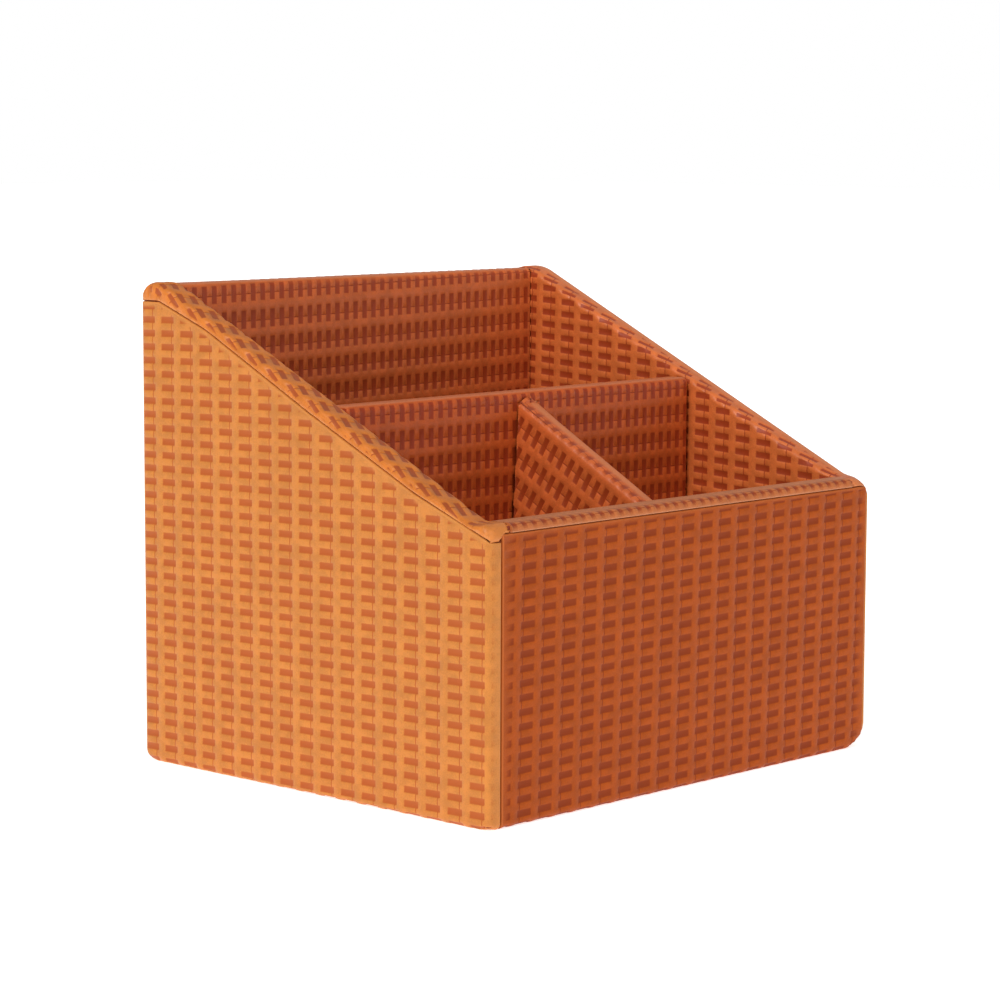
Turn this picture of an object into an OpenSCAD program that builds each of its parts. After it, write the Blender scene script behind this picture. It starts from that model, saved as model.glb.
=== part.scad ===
// Desk caddy for remote controls: a stiff open box with a tall back, sloped side walls,
// a low front wall and two dividers. Every wall is fibreboard wrapped in embossed
// basket-weave leatherette. X runs left to right, Y from front to back, Z up.

/* [Box] */
// Outside width
body_w = 140; // [115:1:200]
// Outside depth, front to back
body_d = 118; // [104:1:170]
// Height of the side walls at the back
side_h = 118.5; // [100:0.5:160]
// Height of the back wall under the top of the side walls
back_drop = 0.5; // [0:0.1:3]
// Height of the front wall
front_h = 69; // [50:1:84]

/* [Boards and sheets] */
// Fibreboard in the four outer walls
wall_board = 6; // [4:0.5:8]
// Fibreboard in the base
base_board_t = 4; // [3:0.5:8]
// Fibreboard in the two dividers
divider_board = 5.2; // [4:0.2:7]
// Leatherette, measured over its raised straps
sheet_t = 0.75; // [0.6:0.05:1]

/* [Dividers] */
// Front face of the middle divider, from the front of the box
middle_y = 53.3; // [46:0.1:62]
// Height of the middle divider
middle_h = 91.5; // [80:0.5:98]
// Left face of the front divider at its top, from the left of the box
front_div_x = 66.2; // [45:0.1:80]
// Top of the front divider at the middle divider
front_div_high = 89.6; // [78:0.1:95]
// Top of the front divider at the front wall
front_div_low = 65.3; // [45:0.1:68]
// How far the front divider leans off the vertical, its foot to the left
front_div_lean = 4; // [0:0.5:5]
// Fitting gap at each end of a divider
divider_gap = 0.4; // [0.1:0.1:0.8]

/* [Edges] */
// Rounding of the wrapped upright corners
corner_r = 2; // [1.6:0.1:3.5]
// Rounding of the wrapped edges round the foot
foot_r = 1.2; // [1.1:0.1:2]
// Rounding of the wrapped rims
rim_r = 1.6; // [1:0.1:1.7]
// Rounding of the side walls' top front corners, seen from the side
wall_front_r = 3; // [2:0.5:3.5]
// Rounding of the side walls' top rear corners, seen from the side
wall_rear_r = 4; // [2:0.5:4]
// Flat length of the side walls' top at the back
rear_flat = 7; // [3:0.1:9]
// Flat length of the side walls' top at the front
front_flat = 7; // [4:0.1:9]
// Rounding of the bend from the flat rear top to the slope
upper_bend_r = 12; // [6:1:20]
// Rounding of the bend from the slope to the flat front top
lower_bend_r = 6; // [3:1:15]
// Rounding of the softened front right corner at its foot
front_foot_r = 6.6; // [3:0.1:8]
// Rounding of the softened front right corner at its top
front_head_r = 5.2; // [3:0.1:8]
// Rounding of the softened rear left corner at its foot
rear_foot_r = 3; // [2:0.1:6]

/* [Covers] */
// Lining folded down over the outside of a wall
fold_down = 2; // [1.7:0.1:3]
// The same fold at the front end of the side walls
front_fold = 3.8; // [3:0.1:6]
// The same fold at the rear end of the side walls
rear_fold = 4.4; // [3:0.1:6]
// Length of slope over which the fold widens at each end
fold_ease = 17; // [5:1:30]
// How far a side cover is turned round an upright corner
side_lap = 4; // [3.5:0.1:6]
// The same at the right front corner
right_lap = 1.4; // [1:0.1:3.4]
// How far the front and back covers are turned under the base
under_lap = 8; // [5:0.5:15]
// Groove between two sheets
groove = 0.35; // [0.2:0.05:0.6]

/* [Weave] */
// Pitch of the raised straps
strap_pitch = 6.95; // [5:0.05:10]
// Width of a raised strap
strap_w = 2.35; // [1.5:0.05:3]
// Pitch of the bars between the straps
bar_pitch = 3.33; // [2.5:0.01:5]
// Width of a bar
bar_w = 1.7; // [1:0.05:2]
// Depth of the embossing
emboss = 0.25; // [0.1:0.05:0.3]
// Plain hem along the edges of each woven face
hem = 0.8; // [0.5:0.1:2]

/* [Hidden] */
$fn = 48;
// Overlap that keeps a cut clear of the face that it cuts through
eps = 1;
// Facets in each bend of the boards under the side walls' top
bend_steps = 4;
// Overlap of the stretches of a swept rim
joint = 0.3;
// How far the sheet is drawn in at a bend of the rim
bend_draw = 0.05;
// Longer and deeper than any wall
far = 3 * side_h;
// Whole thickness of a wrapped wall and of a wrapped divider
wall_t = wall_board + 2 * sheet_t;
divider_t = divider_board + 2 * sheet_t;
back_h = side_h - back_drop;
slope_front_y = front_flat;
slope_back_y = body_d - rear_flat;
slope_a = atan((side_h - front_h) / (slope_back_y - slope_front_y));
// Where the lower bend begins and the upper bend ends
lower_y = slope_front_y - lower_bend_r * tan(slope_a / 2);
upper_y = slope_back_y + upper_bend_r * tan(slope_a / 2);
// Tops of the base board and of the floor lining
base_top = sheet_t + base_board_t;
floor_top = base_top + sheet_t;
// Inner face of the side boards, and of the front and back boards
board_in = sheet_t + wall_board;
front_div_a = atan((front_div_high - front_div_low) / (middle_y - wall_t));
// The weave starts this far under a rim
weave_down = 2.5 * rim_r;

tan_leather = [0.80, 0.42, 0.17];
lining_leather = [0.66, 0.31, 0.13];
rim_leather = [0.72, 0.36, 0.16];
board_grey = [0.62, 0.55, 0.45];
underside_brown = [0.42, 0.22, 0.12];

// A rectangle with true round corners
module rounded_rect(x0, y0, x1, y1, r) {
  translate([x0 + r, y0]) square([x1 - x0 - 2 * r, y1 - y0]);
  translate([x0, y0 + r]) square([x1 - x0, y1 - y0 - 2 * r]);
  for (x = [x0 + r, x1 - r], y = [y0 + r, y1 - r]) translate([x, y]) circle(r);
}

// Extrudes an outline drawn as [y, z] from x0 to x1
module across(x0, x1) {
  translate([x0, 0, 0]) rotate([90, 0, 90]) linear_extrude(x1 - x0) children();
}

// Extrudes an outline drawn as [x, z] from y0 to y1
module along(y0, y1) {
  translate([0, y1, 0]) rotate([90, 0, 0]) linear_extrude(y1 - y0) children();
}

module box(x0, y0, z0, x1, y1, z1) {
  translate([x0, y0, z0]) cube([x1 - x0, y1 - y0, z1 - z0]);
}

module mirrored_wall() {
  translate([body_w, 0, 0]) mirror([1, 0, 0]) children();
}

// What a rounding of radius r takes off the end of an upright corner, i inside the
// wrapped surface. It runs straight through the corner, from outside to inside.
// up is 1 at the top of the corner and 0 at its foot.
module softening(x, y, z, turn, up, r, i) {
  reach = 4 * corner_r;
  translate([x, y, z]) rotate(turn) translate([corner_r - i, 0, 0]) mirror([0, 0, up])
    rotate([90, 0, 0]) translate([0, 0, -reach]) linear_extrude(2 * reach)
      difference() {
        translate([-r + i, -eps]) square([r + eps, r + eps]);
        translate([-r + i, r]) circle(r - i);
      }
}

module softenings(i) {
  softening(body_w - corner_r, corner_r, 0, -45, 0, front_foot_r, i);
  softening(body_w - corner_r, corner_r, front_h, -45, 1, front_head_r, i);
  softening(corner_r, body_d - corner_r, 0, 135, 0, rear_foot_r, i);
}

// The whole box as a solid block, i inside the wrapped surface
module block(i) {
  difference() {
    intersection() {
      linear_extrude(side_h + i) rounded_rect(i, i, body_w - i, body_d - i, corner_r - i);
      across(0, body_w) footed(body_d, i);
      along(0, body_d) footed(body_w, i);
    }
    softenings(i);
  }
}

// Outline of width w with its two lower corners round, i inside the wrapped surface
module footed(w, i) {
  rounded_rect(i, i, w - i, side_h, foot_r - i);
  translate([i, side_h - foot_r]) square([w - 2 * i, foot_r + 2 * eps]);
}

// The wrapped skin, one sheet thick
module skin() {
  difference() {
    block(0);
    block(sheet_t);
  }
}

// Lays a profile, drawn down from its top, along a line of angle a through y, z
module laid(y, z, a) {
  translate([0, y, z]) rotate([90 + a, 0, 0]) linear_extrude(2 * far, center = true) children();
}

// Everything under the top of a side wall, i inside the wrapped surface. The bend at the
// foot of the slope is a union of bars and the one at its head an intersection.
module under_rim(i) {
  lower_r = lower_bend_r + i;
  upper_r = upper_bend_r - i;
  intersection() {
    for (k = [0:bend_steps]) let (a = slope_a * k / bend_steps)
      laid(lower_y + lower_r * sin(a), front_h - i + lower_r * (1 - cos(a)), a) children();
    intersection_for (k = [0:bend_steps]) let (a = slope_a * k / bend_steps)
      laid(upper_y - upper_r * sin(a), side_h - i - upper_r * (1 - cos(a)), a) children();
  }
}

// Profile of a wrapped rim of width w, drawn down from its top
module rim_profile(w) {
  intersection() {
    rounded_rect(0, -4 * rim_r, w, 0, rim_r);
    translate([0, -2 * rim_r]) square([w, 2 * rim_r]);
  }
}

// Sweeps the profile of a wrapped rim along the top of a side wall: flat, bend, slope,
// bend and flat
module swept_rim() {
  slope_len = norm([slope_back_y - slope_front_y, side_h - front_h])
    - (lower_bend_r + upper_bend_r) * tan(slope_a / 2);
  translate([0, lower_y + joint, front_h]) rotate([90, 0, 0])
    linear_extrude(lower_y + joint) rim_profile(wall_t);
  translate([0, lower_y, front_h + lower_bend_r]) rotate([0, 90, 0])
    rotate_extrude(angle = slope_a) translate([lower_bend_r, 0]) rotate(90) bend_profile();
  translate([0, slope_back_y, side_h]) rotate([90 + slope_a, 0, 0])
    translate([0, 0, upper_bend_r * tan(slope_a / 2) - joint])
      linear_extrude(slope_len + 2 * joint) rim_profile(wall_t);
  translate([0, upper_y, side_h - upper_bend_r]) rotate(180, [1, 0, 1])
    rotate_extrude(angle = slope_a) translate([upper_bend_r, 0]) mirror([1, -1]) bend_profile();
  translate([0, body_d, side_h]) rotate([90, 0, 0])
    linear_extrude(body_d - upper_y + joint) rim_profile(wall_t);
}

// Profile of the rim in a bend, where the sheet is drawn in
module bend_profile() {
  translate([bend_draw, -bend_draw]) rim_profile(wall_t - 2 * bend_draw);
}

// The wrapped left wall as one solid
module side_wall() {
  difference() {
    intersection() {
      union() {
        swept_rim();
        under_rim(1.5 * rim_r) translate([0, -far]) square([wall_t, far]);
      }
      linear_extrude(side_h + eps) rounded_rect(0, 0, body_w, body_d, corner_r);
    }
    wall_ends(0);
  }
}

// Rounds both ends of a side wall's top, i inside the wrapped surface
module wall_ends(i) {
  wall_end(i, front_h - i, wall_front_r - i, 0);
  wall_end(body_d - i, side_h - i, wall_rear_r - i, 1);
}

module wall_end(y, z, r, back) {
  translate([0, y, z]) mirror([0, back, 0]) across(-eps, wall_t + eps) difference() {
    translate([-eps, -r]) square([r + eps, r + eps]);
    translate([r, -r]) circle(r);
  }
}

// Edge of the fold on the outside of a side wall, as [y, z], drop under it
function slope_z(y) = front_h + (y - slope_front_y) * tan(slope_a);
function fold_line(drop) = [
  [-eps, front_h - front_fold - drop],
  [slope_front_y + fold_ease, slope_z(slope_front_y + fold_ease) - (fold_down + drop) / cos(slope_a)],
  [slope_back_y - fold_ease, slope_z(slope_back_y - fold_ease) - (fold_down + drop) / cos(slope_a)],
  [slope_back_y, side_h - rear_fold - drop],
  [body_d + eps, side_h - rear_fold - drop]];

// Everything under that edge
module under_fold(drop) {
  polygon(concat([[-eps, -eps]], fold_line(drop), [[body_d + eps, -eps]]));
}

// Gaps between the straps over a face of w by h, straps upright
module strap_gaps(w, h) {
  gap = strap_pitch - strap_w;
  count = floor((w - gap) / strap_pitch) + 1;
  first = (w - (count - 1) * strap_pitch - gap) / 2;
  for (k = [0:count - 1]) translate([first + k * strap_pitch, 0]) square([gap, h]);
}

// Gaps between the bars over a face of w by h, bars level
module bar_gaps(w, h) {
  gap = bar_pitch - bar_w;
  count = floor((h - gap) / bar_pitch) + 1;
  first = (h - (count - 1) * bar_pitch - gap) / 2;
  for (k = [0:count - 1]) translate([0, first + k * bar_pitch]) square([w, gap]);
}

// Level straps over a face of w by h
module level_strap_gaps(w, h) {
  translate([w, 0]) rotate(90) strap_gaps(h, w);
}

module left_board() {
  color(board_grey) side_board();
}

module right_board() {
  color(board_grey) difference() {
    mirrored_wall() side_board();
    softenings(sheet_t);
  }
}

module side_board() {
  difference() {
    intersection() {
      under_rim(sheet_t) translate([sheet_t, -far]) square([wall_board, far]);
      block(sheet_t);
    }
    wall_ends(sheet_t);
  }
}

module front_board() {
  color(board_grey) intersection() {
    box(board_in, sheet_t, sheet_t, body_w - board_in, board_in, front_h - sheet_t);
    block(sheet_t);
  }
}

module back_board() {
  color(board_grey) intersection() {
    box(board_in, body_d - board_in, sheet_t, body_w - board_in, body_d - sheet_t, back_h - sheet_t);
    block(sheet_t);
  }
}

module base_board() {
  color(board_grey) box(board_in, board_in, sheet_t,
    body_w - board_in, body_d - board_in, base_top);
}

// Cover of a side wall cut from the skin, turned round both upright corners and under
module side_cover(front_lap) {
  difference() {
    intersection() {
      children();
      across(-eps, side_lap) under_fold(groove);
    }
    box(front_lap, -eps, -eps, side_lap + eps, under_lap + groove, side_h);
    across(-eps, emboss) intersection() {
      translate([corner_r, foot_r]) strap_gaps(body_d - 2 * corner_r, side_h);
      under_fold(groove + hem);
    }
  }
}

module left_cover() {
  color(tan_leather) side_cover(side_lap) skin();
}

module right_cover() {
  color(tan_leather) mirrored_wall() side_cover(right_lap) mirrored_wall() skin();
}

module front_cover() {
  x0 = side_lap + groove;
  x1 = body_w - right_lap - groove;
  top = front_h - fold_down - groove;
  w = x1 - x0 - 2 * hem;
  h = top - foot_r - hem;
  color(tan_leather) difference() {
    intersection() {
      skin();
      box(x0, -eps, -eps, x1, under_lap, top);
    }
    translate([x0 + hem, 0, foot_r]) {
      along(-eps, emboss) intersection() {
        strap_gaps(w, h);
        bar_gaps(w, h);
      }
      along(-eps, emboss / 2) strap_gaps(w, h);
    }
  }
}

module back_cover() {
  x0 = side_lap + groove;
  x1 = body_w - x0;
  top = back_h - fold_down - groove;
  color(tan_leather) difference() {
    intersection() {
      skin();
      box(x0, body_d - under_lap, -eps, x1, body_d + eps, top);
    }
    translate([x0 + hem, 0, foot_r]) along(body_d - emboss, body_d + eps)
      strap_gaps(x1 - x0 - 2 * hem, top - foot_r - hem);
  }
}

module underside_cover() {
  x0 = side_lap + groove;
  y0 = under_lap + groove;
  color(underside_brown) box(x0, y0, 0, body_w - x0, body_d - y0, sheet_t);
}

// Lining of a side wall: the inner face, the rim, and the strip folded down outside
module side_lining(front_lap) {
  difference() {
    side_wall();
    side_board();
    across(-eps, side_lap) under_fold(0);
    box(front_lap, -eps, -eps, wall_t + eps, board_in, front_h - fold_down);
    box(side_lap, body_d - board_in, -eps, wall_t + eps, body_d + eps, back_h - fold_down);
    box(-eps, -eps, -eps, wall_t + eps, body_d + eps, base_top);
    across(board_in, wall_t + eps) end_boards();
    intersection() {
      across(wall_t - emboss, wall_t + eps) translate([wall_t, floor_top])
        strap_gaps(body_d - 2 * wall_t, side_h);
      under_rim(weave_down) translate([0, -far]) square([2 * wall_t, far]);
    }
  }
}

// Sections of the front and back boards as [y, z]
module end_boards() {
  translate([sheet_t, 0]) square([wall_board, front_h - sheet_t]);
  translate([body_d - board_in, 0]) square([wall_board, back_h - sheet_t]);
}

module left_lining() {
  color(rim_leather) side_lining(side_lap);
}

module right_lining() {
  color(rim_leather) difference() {
    mirrored_wall() side_lining(right_lap);
    softenings(0);
  }
}

// Section of the lining of the front or back wall of height h, as [y, z]
module end_lining_section(h) {
  difference() {
    union() {
      intersection() {
        translate([0, h]) rim_profile(wall_t);
        translate([0, h - fold_down]) square([wall_t, fold_down]);
      }
      translate([board_in, base_top]) square([sheet_t, h - rim_r - base_top]);
    }
    translate([sheet_t, 0]) square([wall_board, h - sheet_t]);
  }
}

module end_lining(h) {
  w = body_w - 2 * wall_t;
  face_h = h - weave_down - floor_top;
  difference() {
    across(wall_t, body_w - wall_t) end_lining_section(h);
    translate([wall_t, 0, floor_top]) along(wall_t - emboss, wall_t + eps)
      level_strap_gaps(w, face_h);
  }
}

module front_lining() {
  color(lining_leather) end_lining(front_h);
}

module back_lining() {
  color(lining_leather) translate([0, body_d, 0]) mirror([0, 1, 0]) end_lining(back_h);
}

module floor_lining() {
  color(lining_leather) box(wall_t, wall_t, base_top, body_w - wall_t, body_d - wall_t, floor_top);
}

// The middle divider as a solid, i inside the wrapped surface
module middle_divider(i) {
  x0 = wall_t + divider_gap + i;
  x1 = body_w - x0;
  r = i > 0 ? 0 : rim_r;
  intersection() {
    across(x0, x1) translate([middle_y + i, middle_h - i]) section(divider_t - 2 * i, r);
    along(middle_y, middle_y + divider_t) {
      translate([x0, floor_top]) square([x1 - x0, middle_h - i - r - floor_top]);
      translate([x0 + r, floor_top]) square([x1 - x0 - 2 * r, middle_h - i - floor_top]);
      if (r > 0) for (x = [x0 + r, x1 - r]) translate([x, middle_h - r]) circle(r);
    }
  }
}

// Section of a divider down from its top, with round top corners where r is above 0
module section(w, r) {
  translate([0, -side_h]) square([w, side_h - r]);
  if (r > 0) rim_profile(w);
}

module middle_divider_board() {
  color(board_grey) middle_divider(sheet_t);
}

module middle_divider_wrap() {
  x0 = wall_t + divider_gap + hem;
  w = body_w - 2 * x0;
  h = middle_h - weave_down - floor_top;
  color(lining_leather) difference() {
    middle_divider(0);
    middle_divider(sheet_t);
    translate([x0, 0, floor_top]) along(middle_y - eps, middle_y + emboss)
      level_strap_gaps(w, h);
    translate([x0, 0, floor_top]) along(middle_y + divider_t - emboss, middle_y + divider_t + eps)
      level_strap_gaps(w, h);
  }
}

// Front and back ends of the front divider
function front_div_y0() = wall_t + divider_gap;
function front_div_y1() = middle_y - divider_gap;

// Puts an upright divider, drawn from x = 0 with its rear top at z = 0, in its leaning place
module lean() {
  intersection() {
    translate([front_div_x, 0, front_div_high]) rotate([0, front_div_lean, 0]) children();
    box(wall_t, 0, floor_top, body_w - wall_t, body_d, side_h);
  }
}

// The front divider upright, i inside the wrapped surface
module upright_divider(i) {
  intersection() {
    laid(middle_y, -i / cos(front_div_a), front_div_a)
      translate([i, 0]) section(divider_t - 2 * i, i > 0 ? 0 : rim_r);
    box(-eps, front_div_y0(), -side_h, divider_t + eps, front_div_y1() - i, eps);
  }
}

// Straps along the slope on both faces of the upright front divider
module bias_gaps() {
  gap = strap_pitch - strap_w;
  y0 = front_div_y0() + hem;
  y1 = front_div_y1() - hem;
  rows = floor(front_div_high / strap_pitch);
  intersection() {
    translate([0, middle_y, 0]) rotate(front_div_a) for (k = [0:rows])
      translate([-body_d, -weave_down - gap - k * strap_pitch]) square([2 * body_d, gap]);
    translate([y0, -side_h]) square([y1 - y0, side_h]);
  }
}

module front_divider_board() {
  color(board_grey) lean() upright_divider(sheet_t);
}

module front_divider_wrap() {
  color(lining_leather) lean() difference() {
    upright_divider(0);
    upright_divider(sheet_t);
    across(-eps, emboss) bias_gaps();
    across(divider_t - emboss, divider_t + eps) bias_gaps();
  }
}

// Puts the box's origin at the middle of its underside
module placed() {
  translate([-body_w / 2, -body_d / 2, 0]) children();
}

placed() base_board();
placed() left_board();
placed() right_board();
placed() front_board();
placed() back_board();
placed() middle_divider_board();
placed() front_divider_board();
placed() left_cover();
placed() right_cover();
placed() front_cover();
placed() back_cover();
placed() underside_cover();
placed() left_lining();
placed() right_lining();
placed() front_lining();
placed() back_lining();
placed() floor_lining();
placed() middle_divider_wrap();
placed() front_divider_wrap();
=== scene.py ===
import math
import bmesh
import bpy
import mathutils
import numpy as np
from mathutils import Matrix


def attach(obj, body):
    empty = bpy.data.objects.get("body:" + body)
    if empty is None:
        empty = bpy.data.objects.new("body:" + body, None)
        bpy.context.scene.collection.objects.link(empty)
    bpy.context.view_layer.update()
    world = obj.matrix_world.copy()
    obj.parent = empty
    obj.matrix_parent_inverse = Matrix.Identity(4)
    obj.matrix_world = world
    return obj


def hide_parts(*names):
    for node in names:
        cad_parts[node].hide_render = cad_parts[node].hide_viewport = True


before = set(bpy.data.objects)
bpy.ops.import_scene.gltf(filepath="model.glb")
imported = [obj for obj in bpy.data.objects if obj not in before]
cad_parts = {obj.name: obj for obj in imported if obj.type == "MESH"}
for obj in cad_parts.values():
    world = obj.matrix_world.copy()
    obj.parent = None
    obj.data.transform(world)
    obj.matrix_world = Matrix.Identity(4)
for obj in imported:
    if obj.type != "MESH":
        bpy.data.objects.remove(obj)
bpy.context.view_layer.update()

# Boards: seven pieces of dark brown hardboard, sawn to shape and glued into a box with two
# dividers. They stay as the CAD gives them, and show only as the bed of the grooves between
# the sheets. Their dark red-brown is partly the board's own colour and partly painted shade,
# standing for the shaded leather at the bottom of the grooves.


class Stain:
    """A shader socket. Sums and products of stains add Math nodes."""

    def __init__(self, tree, out=None):
        self.tree, self.out = tree, out

    def node(self, kind, settings=None, inputs=None, out=0):
        made = self.tree.nodes.new(kind)
        for key, value in (settings or {}).items():
            setattr(made, key, value)
        for key, value in (inputs or {}).items():
            if isinstance(value, Stain):
                self.tree.links.new(value.out, made.inputs[key])
            else:
                made.inputs[key].default_value = value
        return Stain(self.tree, made.outputs[out])

    def math(self, operation, first, second):
        return self.node("ShaderNodeMath", {"operation": operation}, {0: first, 1: second})

    def __add__(self, other):
        return self.math("ADD", self, other)

    def __radd__(self, other):
        return self.math("ADD", other, self)

    def __sub__(self, other):
        return self.math("SUBTRACT", self, other)

    def __rsub__(self, other):
        return self.math("SUBTRACT", other, self)

    def __mul__(self, other):
        return self.math("MULTIPLY", self, other)

    def mix(self, factor, first, second):
        """Colour first where factor is 0, second where it is 1."""
        return self.node("ShaderNodeMix", {"data_type": "RGBA"},
                         {0: factor, 6: first, 7: second}, 2)


def finish_of(name):
    """A new material, with its ink for drawing nodes and its surface shader."""
    material = bpy.data.materials.new(name)
    material.use_nodes = True
    tree = material.node_tree
    return material, Stain(tree), tree.nodes["Principled BSDF"]


def srgb(red, green, blue):
    """A colour as seen on a screen, 0 to 255, as the shader wants it."""
    linear = [c / 255 / 12.92 if c < 11 else ((c / 255 + 0.055) / 1.055) ** 2.4
              for c in (red, green, blue)]
    return (*linear, 1.0)


def hardboard_and_groove_shade():
    material, ink, surface = finish_of("hardboard_and_groove_shade")
    place = ink.node("ShaderNodeTexCoord", out="Object")
    fibres = ink.node("ShaderNodeTexNoise", {}, {"Vector": place, "Scale": 1400.0, "Detail": 4.0})
    cloud = ink.node("ShaderNodeTexNoise", {}, {"Vector": place, "Scale": 70.0, "Detail": 2.0})
    # dark red-brown: the board's own colour, with painted shade for the grooves where it shows
    colour = ink.mix(fibres * 0.7 + cloud * 0.3, srgb(112, 38, 16), srgb(146, 56, 26))
    bump = ink.node("ShaderNodeBump", {}, {"Strength": 0.4, "Distance": 0.0001, "Height": fibres})
    links = material.node_tree.links
    links.new(colour.out, surface.inputs["Base Color"])
    links.new((fibres * 0.15 + 0.75).out, surface.inputs["Roughness"])
    links.new(bump.out, surface.inputs["Normal"])
    return material


board = hardboard_and_groove_shade()
for name in ("base_board", "left_board", "right_board", "front_board", "back_board",
             "middle_divider_board", "front_divider_board"):
    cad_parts[name].data.materials.clear()
    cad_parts[name].data.materials.append(board)

# Leatherette: a coated sheet 0.75 mm thick with an embossed basket weave. Upright straps
# stand at even gaps, short bars join them, and each bar is split by a narrow slit near
# one end. The raised parts are rubbed pale. The pits and slits between them are painted
# dark, partly as darker pigment in the recesses and partly as painted shade.
BOX_W, BOX_D = 140.0, 118.0
SHEET = 0.75
PIT_W, PIT_H, PIT_DEEP = 4.6, 1.63, 0.25
STRAP_BEVEL, BAR_BEVEL, BAR_CROWN = 0.2, 0.17, 1.22
SLIT_HALF, SLIT_LIP, SLIT_DEEP = 0.06, 0.2, 0.5 * PIT_DEEP
# how pale each part of the relief is painted, from 0 to 1: the raised parts rubbed pale,
# the pits and slits darker pigment and painted shade, and each pit painted darker at its
# foot than at its head, as painted shade from light above
STRAP, BAR, PIT_HEAD, PIT_FOOT, SLIT = 1.0, 0.95, 0.2, 0.0, 0.1


def weave_cell(pitch, slit_at):
    """One pit with half a strap on each side and half a bar above and below, in mm.
    slit_at is the place of the slit across the pit, from 0 to 1."""
    slit = (slit_at - 0.5) * PIT_W
    strap_edge, pit_edge = PIT_W / 2 + STRAP_BEVEL, PIT_W / 2 - STRAP_BEVEL
    bar_edge, floor_edge = PIT_H / 2 + BAR_BEVEL, PIT_H / 2 - BAR_BEVEL
    across = [-pitch[0] / 2, -strap_edge, -pit_edge, slit - SLIT_LIP, slit - SLIT_HALF,
              slit + SLIT_HALF, slit + SLIT_LIP, pit_edge, strap_edge, pitch[0] / 2]
    along = [-pitch[1] / 2, -BAR_CROWN, -bar_edge, -floor_edge,
             floor_edge, bar_edge, BAR_CROWN, pitch[1] / 2]
    bar_drop = {0: 0.015, 1: 0.03, 2: 0.08}
    made = bmesh.new()
    relief = made.verts.layers.float.new("relief")
    grid = []
    for row, v in enumerate(along):
        line = []
        for column, u in enumerate(across):
            if column in (0, 9):
                height, value = 0.0, STRAP
            elif column in (1, 8):
                height, value = -0.035, STRAP
            elif row in (3, 4):
                height, value = -PIT_DEEP, PIT_FOOT if row == 3 else PIT_HEAD
            elif column in (4, 5):
                height, value = -SLIT_DEEP, SLIT
            else:
                height = -bar_drop[min(row, 7 - row)] - (0.04 if column in (2, 7) else 0)
                value = BAR
            vert = made.verts.new((u, v, height))
            vert[relief] = value
            line.append(vert)
        grid.append(line)
    for low, high in zip(grid, grid[1:]):
        for a, b, c, d in zip(low, low[1:], high[1:], high):
            made.faces.new((a, b, c, d))
    mesh = bpy.data.meshes.new("weave_cell")
    made.to_mesh(mesh)
    made.free()
    cell = bpy.data.objects.new("weave_cell", mesh)
    bpy.context.scene.collection.objects.link(cell)
    return cell


def weave_tree():
    """Geometry nodes: the cell at each point of a grid, joined into one sheet."""
    tree = bpy.data.node_groups.new("weave", "GeometryNodeTree")
    for name, kind in (("Cell", "Object"), ("Columns", "Int"), ("Rows", "Int"),
                       ("Column Pitch", "Float"), ("Row Pitch", "Float"),
                       ("Material", "Material")):
        tree.interface.new_socket(name, in_out="INPUT", socket_type="NodeSocket" + kind)
    tree.interface.new_socket("Geometry", in_out="OUTPUT", socket_type="NodeSocketGeometry")
    given = tree.nodes.new("NodeGroupInput").outputs

    def add(kind, settings, links):
        made = tree.nodes.new(kind)
        for key, value in settings.items():
            setattr(made, key, value)
        for key, value in links.items():
            if isinstance(value, float):
                made.inputs[key].default_value = value
            else:
                tree.links.new(value, made.inputs[key])
        return made.outputs

    def span(count, pitch):
        gaps = add("ShaderNodeMath", {"operation": "SUBTRACT"}, {0: given[count], 1: 1.0})[0]
        return add("ShaderNodeMath", {"operation": "MULTIPLY"}, {0: gaps, 1: given[pitch]})[0]

    points = add("GeometryNodeMeshGrid", {}, {
        "Size X": span("Columns", "Column Pitch"), "Size Y": span("Rows", "Row Pitch"),
        "Vertices X": given["Columns"], "Vertices Y": given["Rows"]})["Mesh"]
    cell = add("GeometryNodeObjectInfo", {}, {"Object": given["Cell"]})["Geometry"]
    cells = add("GeometryNodeInstanceOnPoints", {}, {"Points": points, "Instance": cell})[0]
    sheet = add("GeometryNodeRealizeInstances", {}, {"Geometry": cells})[0]
    sheet = add("GeometryNodeMergeByDistance", {}, {"Geometry": sheet, "Distance": 0.01})[0]
    sheet = add("GeometryNodeSetMaterial", {}, {
        "Geometry": sheet, "Material": given["Material"]})[0]
    tree.links.new(sheet, tree.nodes.new("NodeGroupOutput").inputs[0])
    return tree


WEAVE = weave_tree()
BACK_LEVEL = -0.9 * SHEET  # faces lower than this belong to the plain back
NEAR = 3.0
HEM_LINES = (0.12, 0.3, 0.45)  # scores inside a turned edge, which rounds over there


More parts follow.
